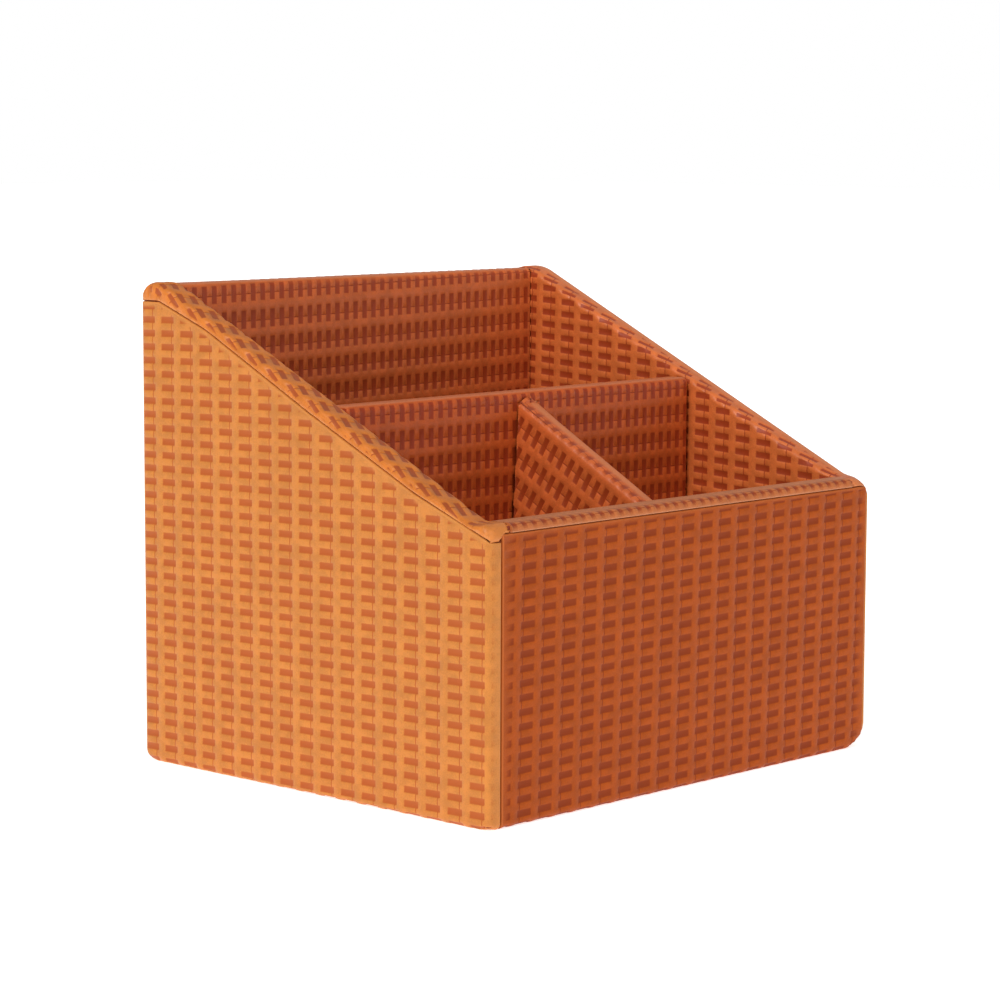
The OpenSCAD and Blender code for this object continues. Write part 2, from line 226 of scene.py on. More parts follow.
class Sheet:
    """A flat sheet of leatherette, in mm: u to the right and v up as its face is seen,
    and the height over its straps. It is cut while it is flat, then closed, scored along
    its folds, and laid last."""

    def __init__(self, box, pitch, slit_at, pit_at, rows, straps, material, quarter=False):
        """box is (u0, v0, u1, v1) and pit_at the middle of one pit. rows and straps are
        the angles, in degrees, by which the rows of pits and the straps are off level
        and upright. quarter turns the weave so that its straps run level."""
        centre = np.array(pit_at, float)
        corners = np.array([(box[i], box[j]) for i in (0, 2) for j in (1, 3)]) - centre
        reach = np.abs(corners).max(0) + 6
        if quarter:
            reach = reach[::-1]
        count = [2 * math.ceil(reach[i] / pitch[i]) + 1 for i in (0, 1)]
        cell = weave_cell(pitch, slit_at)
        holder = bpy.data.objects.new("weave", bpy.data.meshes.new("weave"))
        bpy.context.scene.collection.objects.link(holder)
        nodes = holder.modifiers.new("weave", "NODES")
        nodes.node_group = WEAVE
        values = {"Cell": cell, "Columns": count[0], "Rows": count[1],
                  "Column Pitch": float(pitch[0]), "Row Pitch": float(pitch[1]),
                  "Material": material}
        for item in WEAVE.interface.items_tree:
            if item.in_out == "INPUT":
                nodes[item.identifier] = values[item.name]
        graph = bpy.context.evaluated_depsgraph_get()
        mesh = bpy.data.meshes.new_from_object(holder.evaluated_get(graph))
        bpy.data.objects.remove(holder)
        bpy.data.objects.remove(cell)
        flat = np.empty(len(mesh.vertices) * 3, np.float32)
        mesh.vertices.foreach_get("co", flat)
        flat = flat.reshape(-1, 3)
        level = math.radians(rows + (90 if quarter else 0))
        upright = math.radians(straps + (90 if quarter else 0))
        u = centre[0] + flat[:, 0] * math.cos(level) - flat[:, 1] * math.sin(upright)
        v = centre[1] + flat[:, 0] * math.sin(level) + flat[:, 1] * math.cos(upright)
        mesh.vertices.foreach_set("co", np.stack([u, v, flat[:, 2]], 1).ravel())
        self.made = bmesh.new()
        self.made.from_mesh(mesh)
        bpy.data.meshes.remove(mesh)
        self.material = material
        self.relief = self.made.verts.layers.float["relief"]
        self.edge = self.made.verts.layers.float.new("edge")
        self.trim((box[0], 0), (-1, 0))
        self.trim((box[2], 0), (1, 0))
        self.trim((0, box[1]), (0, -1))
        self.trim((0, box[3]), (0, 1))

    def score(self, point, across, within=None):
        """Scores along a line without parting the sheet, all over or within a box. The
        plain back is scored over the whole height of the box."""
        faces = self.made.faces[:]
        if within is not None:
            u0, v0, u1, v1 = within
            near = []
            for face in faces:
                u, v, h = face.verts[0].co
                if (u0 - NEAR < u < u1 + NEAR and v0 - NEAR < v < v1 + NEAR
                        or h < BACK_LEVEL):
                    m = face.calc_center_bounds()
                    if u0 < m.x < u1 and (v0 < m.y < v1 or m.z < BACK_LEVEL):
                        near.append(face)
            faces = near
        self.cut(faces, point, across)

    def cut(self, faces, point, across):
        corners = dict.fromkeys(v for f in faces for v in f.verts)
        edges = dict.fromkeys(e for f in faces for e in f.edges)
        bmesh.ops.bisect_plane(self.made, geom=[*corners, *edges, *faces], dist=1e-4,
                               plane_co=(*point, 0), plane_no=(*across, 0))

    def score_path(self, path, corners=True):
        """Scores along a line of points that runs to the right, and upright through its
        corners."""
        for (u0, v0), (u1, v1) in zip(path, path[1:]):
            low, high = min(v0, v1) - 2, max(v0, v1) + 2
            if corners:
                self.score((u0, v0), (1, 0), (u0 - 2, v0 - 2, u0 + 2, v0 + 2))
            self.score((u0, v0), (v0 - v1, u1 - u0), (u0, low, u1, high))

    def score_back(self, places):
        """Scores upright lines on the plain back at these places."""
        for u in places:
            back = [f for f in self.made.faces if f.calc_center_bounds().z < BACK_LEVEL]
            self.cut(back, (u, 0), (1, 0))

    def trim(self, point, across):
        """Cuts along a line and drops what lies on the side that across points to."""
        self.score(point, across)
        self.drop(lambda u, v: (u - point[0]) * across[0] + (v - point[1]) * across[1] > 0)

    def drop(self, unwanted):
        gone = [f for f in self.made.faces if unwanted(*f.calc_center_bounds().xy)]
        bmesh.ops.delete(self.made, geom=gone, context="FACES")

    def finish_edges(self, distance, hem=0.8, round_over=0.3, wear_and_glare=None):
        """Fades the weave out at a turned edge, rounds that edge over and paints it paler,
        as wear and a painted highlight. distance gives how far inside the edge an array of
        points is, and the last argument how smooth it is rubbed elsewhere and how much paler it
        is painted there, as wear and painted reflection, from 0 to 1."""
        verts = self.made.verts[:]
        flat = np.array([v.co for v in verts])
        inside = distance(flat[:, 0], flat[:, 1])
        rubbed_and_glare = wear_and_glare(flat[:, 0], flat[:, 1]) if wear_and_glare else 0 * inside
        kept = np.clip((inside - hem) / 0.5 + 0.5, 0, 1) * (1 - rubbed_and_glare)
        over = np.clip(1 - inside / round_over, 0, 1)
        sunk = round_over * (1 - np.sqrt(np.clip(1 - over ** 2, 0, 1)))
        # paler: a painted highlight along the turned edge, and where rubbed, wear and painted
        # reflection
        pale = np.maximum(np.clip(1.1 - inside / 0.6, 0, 1), 0.55 * rubbed_and_glare)
        for vert, keep, down, paleness in zip(verts, kept, sunk, pale):
            vert.co.z = vert.co.z * keep - down
            vert[self.relief] = 1 - (1 - vert[self.relief]) * keep
            vert[self.edge] = paleness

    def close(self):
        """Gives the sheet its thickness: walls round the edge, and a plain back."""
        rim = [e for e in self.made.edges if e.is_boundary]
        made = bmesh.ops.extrude_edge_only(self.made, edges=rim)["geom"]
        for vert in (g for g in made if isinstance(g, bmesh.types.BMVert)):
            vert.co.z = -SHEET
        foot = [g for g in made if isinstance(g, bmesh.types.BMEdge) and g.is_boundary]
        back = bmesh.ops.holes_fill(self.made, edges=foot, sides=0)["faces"]
        bmesh.ops.triangulate(self.made, faces=back)

    def lay(self, node, place, mirrored=False):
        """Makes the piece: place turns arrays of u, v and height into corner millimetres."""
        made, name = self.made, node + "_sheet"
        bmesh.ops.recalc_face_normals(made, faces=made.faces)
        if mirrored:
            bmesh.ops.reverse_faces(made, faces=made.faces)
        flat = np.array([v.co for v in made.verts])
        layer = made.loops.layers.uv.new("flat")
        for face in made.faces:
            for loop in face.loops:
                loop[layer].uv = loop.vert.co.xy * 0.001
        laid = place(flat[:, 0], flat[:, 1], flat[:, 2])
        if mirrored:
            laid[:, 0] = BOX_W - laid[:, 0]
        laid = (laid - np.array([BOX_W / 2, BOX_D / 2, 0])) * 0.001
        mesh = bpy.data.meshes.new(name)
        made.to_mesh(mesh)
        made.free()
        mesh.vertices.foreach_set("co", laid.astype(np.float32).ravel())
        mesh.materials.clear()
        mesh.materials.append(self.material)
        mesh.polygons.foreach_set("use_smooth", [True] * len(mesh.polygons))
        mesh.set_sharp_from_angle(angle=math.radians(62))
        mesh.update()
        piece = bpy.data.objects.new(name, mesh)
        bpy.context.scene.collection.objects.link(piece)
        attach(piece, "root")
        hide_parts(node)
        return piece


def over_core(sharp, low, high, radius, height):
    """Rounds the corners of a sharp box: points of its surface move along the line from
    the nearest point of a core, which runs from low to high, to lie radius off it."""
    core = np.clip(sharp, low, high)
    out = sharp - core
    return core + out * ((radius + height) / np.linalg.norm(out, axis=1))[:, None]


def leatherette(name, raised, pit, edge, dull=0.42, gloss=0.25):
    """The coated sheet. Its colour goes by the relief of the weave, darker in the pits as
    darker pigment and painted shade, with fine grain and a cloudy unevenness over both.
    Turned edges and worn places take the paler edge colour: wear, and a painted
    highlight and reflection."""
    material, ink, surface = finish_of(name)
    place = ink.node("ShaderNodeUVMap", {"uv_map": "flat"})
    relief = ink.node("ShaderNodeAttribute", {"attribute_name": "relief"}, out="Fac")
    turned = ink.node("ShaderNodeAttribute", {"attribute_name": "edge"}, out="Fac")

    def noise(scale, detail=3.0):
        return ink.node("ShaderNodeTexNoise", {}, {
            "Vector": place, "Scale": scale, "Detail": detail, "Roughness": 0.6})

    def step(value, low, high):
        return ink.node("ShaderNodeMapRange", {"interpolation_type": "SMOOTHSTEP"}, {
            "Value": value, "From Min": low, "From Max": high})

    grain, cloud, drift = noise(2600.0), noise(260.0), noise(45.0, 2.0)
    height = step(relief + (grain - 0.5) * 0.3, 0.05, 0.9)
    top = ink.mix(step(cloud * 0.6 + grain * 0.4, 0.38, 0.62),
                  [c * 0.89 for c in raised[:3]] + [1],
                  [min(c * 1.1, 1) for c in raised[:3]] + [1])
    # darker in the pits: darker pigment and painted shade
    colour = ink.mix(height, pit, top)
    # paler at turned edges and worn places: wear, and a painted highlight and reflection
    colour = ink.mix(step(turned + (grain - 0.5) * 0.3, 0.2, 0.9), colour, edge)
    shade = ink.mix(step(drift, 0.3, 0.7), (0.97, 0.96, 0.95, 1), (1.03, 1.03, 1.03, 1))
    colour = ink.node("ShaderNodeMix", {"data_type": "RGBA", "blend_type": "MULTIPLY"},
                      {0: 1.0, 6: colour, 7: shade}, 2)
    bump = ink.node("ShaderNodeBump", {}, {
        "Strength": 0.5, "Distance": 0.00006, "Height": grain * 0.6 + cloud * 0.4})
    rough = dull + (grain - 0.5) * 0.2 + (1.0 - height) * 0.08
    links = material.node_tree.links
    links.new(colour.out, surface.inputs["Base Color"])
    links.new(rough.out, surface.inputs["Roughness"])
    links.new(bump.out, surface.inputs["Normal"])
    surface.inputs["Specular IOR Level"].default_value = gloss
    return material


# Floor lining: a sheet of lining leatherette glued flat on the base board.
FLOOR_TOP = 5.5
WALL = 7.5
lining = leatherette("lining_leatherette", srgb(194, 88, 36), srgb(156, 56, 22),
                     srgb(204, 122, 74), 0.4)
floor_sheet = Sheet((WALL, WALL, BOX_W - WALL, BOX_D - WALL), (6.88, 3.3), 0.4,
                    (70.0, 60.0), 0, 0, lining)
floor_sheet.close()
floor_sheet.lay("floor_lining", lambda u, v, h: np.stack([u, v, FLOOR_TOP + h], 1))

# Middle divider: one sheet goes up the front of the board, over its top and down the
# back, with its straps level. Flaps close both ends.
MIDDLE_Y, MIDDLE_TOP, DIVIDER, END_GAP = 53.3, 91.5, 6.7, 7.9
RIM = 1.6


def fold_lines(sheet, at, radius, across=(0, 1)):
    """Scores for a rounded fold along the line at, where across is its normal."""
    for part in (-1, -0.7, -0.35, 0, 0.35, 0.7, 1):
        sheet.score([(at + part * radius) * a for a in across], across)


def wrap_middle(u, v, h):
    """Folds the flat sheet over the top of the board and round its ends."""
    end = np.maximum(np.maximum(END_GAP - u, u - (BOX_W - END_GAP)), 0)
    over = np.clip(v - MIDDLE_TOP, 0, DIVIDER)
    down = np.maximum(v - MIDDLE_TOP - DIVIDER, 0)
    y = MIDDLE_Y + over + np.where(down > 0, -end, end)
    sharp = np.stack([np.clip(u, END_GAP, BOX_W - END_GAP), y,
                      np.minimum(v, MIDDLE_TOP) - down], 1)
    return over_core(sharp, (END_GAP + RIM, MIDDLE_Y + RIM, -9),
                     (BOX_W - END_GAP - RIM, MIDDLE_Y + DIVIDER - RIM, MIDDLE_TOP - RIM), RIM, h)


flap = DIVIDER / 2 - 0.05
middle = Sheet((END_GAP - flap, FLOOR_TOP, BOX_W - END_GAP + flap,
                2 * MIDDLE_TOP + DIVIDER - FLOOR_TOP), (6.7, 3.265), 0.45,
               (107.9, 75.6), 0.0, 0.0, lining, quarter=True)
for u in (END_GAP, BOX_W - END_GAP):
    middle.score((u, 0), (1, 0))
for v in (MIDDLE_TOP, MIDDLE_TOP + DIVIDER):
    middle.score((0, v), (0, 1))
middle.drop(lambda u, v: MIDDLE_TOP < v < MIDDLE_TOP + DIVIDER
            and not END_GAP < u < BOX_W - END_GAP)
# the top of the divider loses its weave and is painted paler: wear and painted reflection
middle.finish_edges(lambda u, v: 0 * u + 9, wear_and_glare=lambda u, v: np.clip(
    3.6 - np.abs(v - MIDDLE_TOP - DIVIDER / 2), 0, 1))
middle.close()
for v in (MIDDLE_TOP, MIDDLE_TOP + DIVIDER):
    fold_lines(middle, v, RIM)
for u in (END_GAP, BOX_W - END_GAP):
    fold_lines(middle, u, RIM, (1, 0))
middle.lay("middle_divider_wrap", wrap_middle)

# Front divider: a leaning board with a sloped top, wrapped like the other one. The sheet
# is cut on the bias, so that its straps run along the slope.
DIVIDER_X, REAR_TOP, FRONT_LOW = 66.2, 89.6, 65.3
SLOPE = math.atan((REAR_TOP - FRONT_LOW) / (MIDDLE_Y - WALL))
LEAN = math.radians(4)
FRONT_END, REAR_END = 7.9, 52.9
divider_finish = leatherette("front_divider_leatherette", srgb(202, 98, 46),
                             srgb(152, 58, 22), srgb(222, 140, 84), 0.36, 0.3)
divider = Sheet((-40, -95, 95, 95 + DIVIDER), (6.7, 3.265), 0.5, (20.0, -5.2), 0, 0,
                divider_finish, quarter=True)


def divider_depth(u, v):
    """Distance from the front, for a point u along the slope and v over its edge."""
    under = np.minimum(v, 0) - np.maximum(v - DIVIDER, 0)
    return MIDDLE_Y - u * math.cos(SLOPE) - under * math.sin(SLOPE), under


def wrap_front(u, v, h):
    """Folds the sheet over the sloped edge, round the rear end, and leans it."""
    y, under = divider_depth(u, v)
    z = -u * math.sin(SLOPE) + under * math.cos(SLOPE)
    x = np.clip(v, 0, DIVIDER)
    round_top = over_core(np.stack([x, under], 1), (RIM, -500), (DIVIDER - RIM, -RIM), RIM, h)
    y = y - (round_top[:, 1] - under) * math.sin(SLOPE)
    z = z + (round_top[:, 1] - under) * math.cos(SLOPE)
    x = round_top[:, 0]
    past = np.maximum(y - REAR_END, 0)
    x = np.where(past > 0, np.where(v < DIVIDER / 2, past, DIVIDER - past), x)
    y = np.where(past > 0, REAR_END + h, y)
    leant = np.stack([DIVIDER_X + x * math.cos(LEAN) + z * math.sin(LEAN), y,
                      REAR_TOP - x * math.sin(LEAN) + z * math.cos(LEAN)], 1)
    leant[:, 2] = np.maximum(leant[:, 2], FLOOR_TOP)
    return leant


for v in (0, DIVIDER):
    divider.score((0, v), (0, 1))
foot = (FLOOR_TOP - REAR_TOP) / math.cos(LEAN) - 0.8
for side in (1, -1):
    zone = (-999, -999, 999, 0) if side == 1 else (-999, DIVIDER, 999, 999)
    base = 0 if side == 1 else DIVIDER
    slant = (math.cos(SLOPE), side * math.sin(SLOPE))
    for y in (FRONT_END, REAR_END, REAR_END + flap):
        divider.score((slant[0] * (MIDDLE_Y - y), base + slant[1] * (MIDDLE_Y - y)), slant, zone)
    upright = (-math.sin(SLOPE), side * math.cos(SLOPE))
    divider.score((upright[0] * foot, base + upright[1] * foot), upright, zone)
    for y in (REAR_END - 0.5, REAR_END - 1):
        divider.score((slant[0] * (MIDDLE_Y - y), base + slant[1] * (MIDDLE_Y - y)), slant, zone)
for y in (FRONT_END, REAR_END):
    divider.score(((MIDDLE_Y - y) / math.cos(SLOPE), 0), (1, 0), (-999, 0, 999, DIVIDER))


def off_divider(u, v):
    """True for a flat point that lies outside the cut sheet."""
    y, under = divider_depth(u, v)
    if 0 < v < DIVIDER:
        return not FRONT_END < MIDDLE_Y - u * math.cos(SLOPE) < REAR_END
    z = -u * math.sin(SLOPE) + under * math.cos(SLOPE)
    return not (FRONT_END < y < REAR_END + flap) or z < foot


divider.drop(off_divider)
# a painted highlight along the left top edge, and a paler rubbed band over the top: wear and
# painted reflection
divider.finish_edges(lambda u, v: 0 * u + 9, wear_and_glare=lambda u, v: 0.5 * np.clip(
    1.6 - np.abs(v + 0.2), 0, 1) + 0.9 * np.clip(2.6 - np.abs(v - 4.2), 0, 1))
divider.close()
for v in (0, DIVIDER):
    fold_lines(divider, v, RIM)
divider.lay("front_divider_wrap", wrap_front)

# Linings of the front and back walls: each sheet goes up the inner face, over the rim
# and 2 mm down outside, where its edge is turned in.
FRONT_TOP, BACK_TOP, TURN_DOWN = 69.0, 118.0, 2.0


def end_lining(node, top, weave, place):
    """Lines one wall: place turns u, the depth from outside and z into the box's x, y, z."""
    fold, edge = top + WALL, top + WALL + 2.2
    sheet = Sheet((WALL, FLOOR_TOP, BOX_W - WALL, edge), *weave)
    for hem in HEM_LINES:
        sheet.score((0, edge - hem), (0, 1))
    # the rim loses its weave and is painted paler: wear and painted reflection
    sheet.finish_edges(lambda u, v: edge - v, 0.6, wear_and_glare=lambda u, v: np.clip(
        3.2 - np.abs(v - top - 2.6), 0, 1))
    sheet.close()
    for v in (top, fold):
        fold_lines(sheet, v, RIM)

    def wrap(u, v, h):
        y = WALL - np.clip(v - top, 0, WALL)
        z = np.minimum(v, top) - np.maximum(v - fold, 0)
        yz = over_core(np.stack([y, z], 1), (RIM, -9), (WALL - RIM, top - RIM), RIM, h)
        return place(u, yz[:, 0], yz[:, 1])

    sheet.lay(node, wrap)


# The front rim: a paler copy of the lining colours, as painted reflection of light grazing its
# top.
front_rim_painted_reflection = leatherette("front_lining_painted_reflection_leatherette", srgb(188, 106, 56), srgb(150, 60, 24),
                        srgb(196, 126, 84), 0.4)
back_wall = leatherette("back_lining_leatherette", srgb(200, 98, 46), srgb(160, 62, 26),
                        srgb(204, 126, 80), 0.4)
end_lining("front_lining", FRONT_TOP,
           ((6.8, 3.27), 0.5, (66.0, 62.7), 0.3, 0, front_rim_painted_reflection, True),
           lambda u, y, z: np.stack([BOX_W - u, y, z], 1))
end_lining("back_lining", BACK_TOP,
           ((6.83, 3.228), 0.42, (95.41, 103.02), 0.23, 1.32, back_wall, True),
           lambda u, y, z: np.stack([u, BOX_D - y, z], 1))

# Side linings: each sheet goes up the inner face of its wall, over the sloped rim and
# down outside by 2 mm, or 4 mm at the ends. It is eased round both ends of the rim.
SIDE_TOP, LOW_BEND, HIGH_BEND = 118.5, 7.0, 111.0
FRONT_R, REAR_R, LOW_R, HIGH_R = 3.0, 4.0, 6.0, 12.0
TILT = math.atan((SIDE_TOP - FRONT_TOP) / (HIGH_BEND - LOW_BEND))
FRONT_FOLD, REAR_FOLD = 65.2, 114.1
FOLD_LINE = np.array([(-1, FRONT_FOLD), (24, 74.6), (59, 90.8), (94, 107.9),
                      (111, REAR_FOLD), (119, REAR_FOLD)])
CORNER = 2.0
FOOT_ROWS, ARC_ROWS = 30, 14


class RimLine:
    """The top of a side wall as y and z, from the foot of its front end to the foot of
    its rear end, with the way the sheet runs over it and its edge on the outside."""

    def __init__(self):
        low_y = LOW_BEND - LOW_R * math.tan(TILT / 2)
        high_y = HIGH_BEND + HIGH_R * math.tan(TILT / 2)
        rows = [(0, z, math.pi, 0)
                for z in np.linspace(60, FRONT_TOP - FRONT_R, FOOT_ROWS)[:-1]]
        for f in np.linspace(0, 1, ARC_ROWS)[:-1]:
            a = math.pi - f * math.pi / 2
            rows.append((FRONT_R + FRONT_R * math.cos(a),
                         FRONT_TOP - FRONT_R + FRONT_R * math.sin(a), a, FRONT_R * f))
        for y in np.concatenate([np.arange(FRONT_R, 14, 0.25), np.arange(14, 104, 2.0),
                                 np.arange(104, BOX_D - REAR_R, 0.25)]):
            if y < low_y:
                z = FRONT_TOP
            elif y < low_y + LOW_R * math.sin(TILT):
                z = FRONT_TOP + LOW_R - math.sqrt(LOW_R ** 2 - (y - low_y) ** 2)
            elif y < high_y - HIGH_R * math.sin(TILT):
                z = FRONT_TOP + (y - LOW_BEND) * math.tan(TILT)
            elif y < high_y:
                z = SIDE_TOP - HIGH_R + math.sqrt(HIGH_R ** 2 - (high_y - y) ** 2)
            else:
                z = SIDE_TOP
            f = min(max((y - FRONT_R) / 24, 0), 1)
            lean = TILT * f * f * (3 - 2 * f)
            if y > 60:
                lean = math.asin(min(max((high_y - y) / HIGH_R, 0), math.sin(TILT)))
            rows.append((y, z, math.pi / 2 + lean, y + TURN_DOWN * math.sin(lean)))
        for f in np.linspace(0, 1, ARC_ROWS):
            a = (1 - f) * math.pi / 2
            rows.append((BOX_D - REAR_R + REAR_R * math.cos(a),
                         SIDE_TOP - REAR_R + REAR_R * math.sin(a), a, BOX_D - REAR_R * (1 - f)))
        rows += [(BOX_D, z, 0, BOX_D)
                 for z in np.linspace(SIDE_TOP - REAR_R, 108, FOOT_ROWS)[1:]]
        rows = np.array(rows)
        self.top = rows[:, :2]
        steps = np.linalg.norm(np.diff(self.top, axis=0), axis=1)
        self.s = np.concatenate([[0], np.cumsum(steps)])
        self.way = np.stack([np.cos(rows[:, 2]), np.sin(rows[:, 2])], 1)
        edge_z = np.interp(rows[:, 3], *FOLD_LINE.T)
        edge_z = np.minimum(edge_z, self.top[:, 1])
        self.edge = np.stack([rows[:, 3], edge_z], 1)
        self.start = np.interp(FRONT_FOLD, self.top[:FOOT_ROWS, 1], self.s[:FOOT_ROWS])
        self.front = self.s[FOOT_ROWS + ARC_ROWS - 2]
        self.end = self.s[-1] - (REAR_FOLD - 108)
        self.rear = self.s[1 - FOOT_ROWS - ARC_ROWS]

    def at(self, values, s):
        return np.stack([np.interp(s, self.s, values[:, i]) for i in (0, 1)], 1)

    def find(self, u, v):
        """Where along the rim a flat point lies and how far over the inner edge it is."""
        point = np.stack([u, v], 1)
        low = np.where(u < FRONT_R, 0, self.front)
        high = np.where(u > BOX_D - REAR_R, self.s[-1], self.rear)
        low = np.where(u > BOX_D - REAR_R, self.rear, low)
        high = np.where(u < FRONT_R, self.front, high)
        for _ in range(34):
            s = (low + high) / 2
            way, off = self.at(self.way, s), point - self.at(self.top, s)
            ahead = way[:, 0] * off[:, 1] - way[:, 1] * off[:, 0] < 0
            low, high = np.where(ahead, s, low), np.where(ahead, high, s)
        over = ((point - self.at(self.top, s)) * self.at(self.way, s)).sum(1)
        face = (u > WALL - 0.01) & (u < BOX_D - WALL + 0.01)
        under = np.interp(u, *self.top[FOOT_ROWS - 1:-FOOT_ROWS].T) - v
        return s, np.where(face & (under > 2 * RIM + 1), -9, over)

    def reach(self, s):
        """Length of the sheet from the inner edge to its turned edge outside."""
        return WALL + np.linalg.norm(self.at(self.edge, s) - self.at(self.top, s), axis=1)


def rim_path(off):
    """A line off the top of a side wall by this much, as flat points."""
    back = off * math.tan(TILT / 2)
    return [(-16, FRONT_TOP + off), (LOW_BEND - back, FRONT_TOP + off),
            (HIGH_BEND - back, SIDE_TOP + off), (134, SIDE_TOP + off)]


def wall_rim(y, top):
    """Height over the rim of a front or back wall, y in from its outer face."""
    out = np.maximum(np.maximum(RIM - y, y - (WALL - RIM)), 0)
    return top - RIM + np.sqrt(np.maximum(RIM ** 2 - np.minimum(out, RIM) ** 2, 0))


def side_lining(node, weave, lap, mirrored, wear_and_glare_from, rim, softenings):
    """Lines one side wall. lap is how far in the ends of the rim are turned down lower, and
    the number after mirrored how far over the inner edge the rim is rubbed smooth and
    painted paler, as wear and painted glare."""
    sheet = Sheet((-14, FLOOR_TOP, 132, 132), *weave)
    for u in (WALL, BOX_D - WALL):
        sheet.score((u, 0), (1, 0))
    sheet.score((0, FRONT_FOLD), (0, 1), (-99, 0, WALL, 199))
    sheet.score((0, REAR_FOLD), (0, 1), (BOX_D - WALL, 0, 199, 199))
    outside = WALL + TURN_DOWN
    for hem in (0, *HEM_LINES):
        sheet.score_path(rim_path(outside - hem))

    def off_rim(u, v):
        return (u < WALL and v < FRONT_FOLD) or (u > BOX_D - WALL and v < REAR_FOLD) or (
            v > FRONT_TOP + max(u - LOW_BEND, 0) * math.tan(TILT) + 14)

    sheet.drop(off_rim)
    verts = sheet.made.verts[:]
    flat = np.array([v.co for v in verts])
    s, t = rim.find(flat[:, 0], flat[:, 1])
    known = dict(zip(verts, zip(s, t, rim.reach(s))))
    gone = []
    for face in sheet.made.faces:
        over, reach = np.mean([known[v][1:] for v in face.verts], axis=0)
        middle = face.calc_center_bounds()
        ends = middle.x < WALL or middle.x > BOX_D - WALL
        if over > reach or (ends and over < 0):
            gone.append(face)
    bmesh.ops.delete(sheet.made, geom=gone, context="FACES")
    for vert in (v for v in sheet.made.verts if v.is_boundary):
        along, over, reach = known[vert]
        ends = vert.co.x < WALL - 0.01 or vert.co.x > BOX_D - WALL + 0.01
        to = reach if over > WALL - 0.5 else 0 if ends and over < 2 else None
        if to is not None and rim.start + 0.02 < along < rim.end - 0.02:
            way = rim.at(rim.way, np.array([along]))[0]
            vert.co.xy = rim.at(rim.top, np.array([along]))[0] + way * to

    def inside(u, v):
        s, t = rim.find(u, v)
        return np.where(t > 0, np.minimum(rim.reach(s) - t,
                                          np.minimum(s - rim.start, rim.end - s)), 9)

    # the ends of the rim, and the rim past the given reach over the inner edge, are rubbed smooth
    # and painted paler: wear and painted glare
    def wear_and_glare(u, v):
        s, t = rim.find(u, v)
        ends = np.clip(1.5 - np.minimum(s - rim.start, rim.end - s) / 6, 0, 1)
        return np.where(t > -RIM, np.maximum(ends, np.clip(t - wear_and_glare_from, 0, 1)), 0)

    sheet.finish_edges(inside, 0.9, wear_and_glare=wear_and_glare)
    sheet.close()
    sheet.score_back([-9, -6, -3, 0, 3, 5.6, 8.2, 10.5, 13, 108, 110.5, 112, 114, 118, 121, 124])
    for off in (-1, -0.6, -0.2, 0.2, 0.6, 1):
        sheet.score_path(rim_path(off * RIM), False)
        sheet.score_path(rim_path(WALL + off * RIM), False)

    def wrap(u, v, h):
        s, t = rim.find(u, v)
        # the ends of the rim turn down lower on the inner part of the wall
        for low, high in ((rim.start, rim.front), (rim.end, rim.rear)):
            drop = np.clip((WALL - lap - t) / 0.4 + 1, 0, 1) * 1.8
            inner = np.clip((s - high) / (low - high), 0, 1)
            if low < high:
                s = s + drop * inner
            else:
                s = s - drop * inner
        top, edge, way = rim.at(rim.top, s), rim.at(rim.edge, s), rim.at(rim.way, s)
        down = edge - top
        length = np.linalg.norm(down, axis=1)
        down = np.where(length[:, None] > 1e-4, down / np.maximum(length, 1e-4)[:, None],
                        [[0, -1]])
        depth = np.where(t < 0, -t, np.maximum(t - WALL, 0))
        deep = t < -2 * RIM
        depth = np.where(deep, 2 * RIM, depth)
        x = WALL - np.clip(t, 0, WALL)
        sharp = np.stack([x, depth], 1)
        laid = over_core(sharp, (RIM, RIM), (WALL - RIM, 99), RIM, h)
        # unrounded where the end of the rim turns down
        level = ((t > 0) & (t < WALL))[:, None]
        plain = np.where(level, np.stack([x, -h], 1),
                         np.stack([np.where(t <= 0, WALL + h, -h), depth], 1))
        ends = np.clip(np.minimum(s - rim.start, rim.end - s) / 4, 0, 1)
        outer = (x < WALL / 2)[:, None]
        laid = np.where(outer, plain + (laid - plain) * ends[:, None], laid)
        turn = np.clip((RIM - x) / RIM, 0, 1)[:, None]
        inward = -way * (1 - turn) + down * turn
        inward = inward / np.linalg.norm(inward, axis=1)[:, None]
        yz = top + inward * laid[:, 1:]
        yz = np.where(deep[:, None], np.stack([u, v], 1), yz)
        # mitred with the rims of the front and back walls
        near = (t >= 0) & (x > WALL / 2)
        for wall_top, y in ((FRONT_TOP, top[:, 0]), (BACK_TOP, BOX_D - top[:, 0])):
            mitre = near & (y < WALL)
            least = np.minimum(wall_rim(y, wall_top), top[:, 1]) + h
            yz[:, 1] = np.where(mitre, np.maximum(yz[:, 1], least), yz[:, 1])
            laid[:, 0] = np.where(mitre, x, laid[:, 0])
        done = np.stack([laid[:, 0], yz[:, 0], yz[:, 1]], 1)
        done[:, :2] = round_corner(done[:, :2])
        return done

    sheet.lay(node, soften(wrap, softenings), mirrored)


def round_corner(plan):
    """Turns the sharp upright corners on the left into round ones of the box's radius."""
    done = plan.copy()
    for centre, way in (((CORNER, CORNER), -1), ((CORNER, BOX_D - CORNER), 1)):
        out = plan - centre
        hit = (out[:, 0] < 0) & (out[:, 1] * way > 0)
        size = np.maximum(np.linalg.norm(out, axis=1), 1e-6)
        scale = np.abs(out).max(1) / size
        done = np.where(hit[:, None], centre + out * scale[:, None], done)
    return done


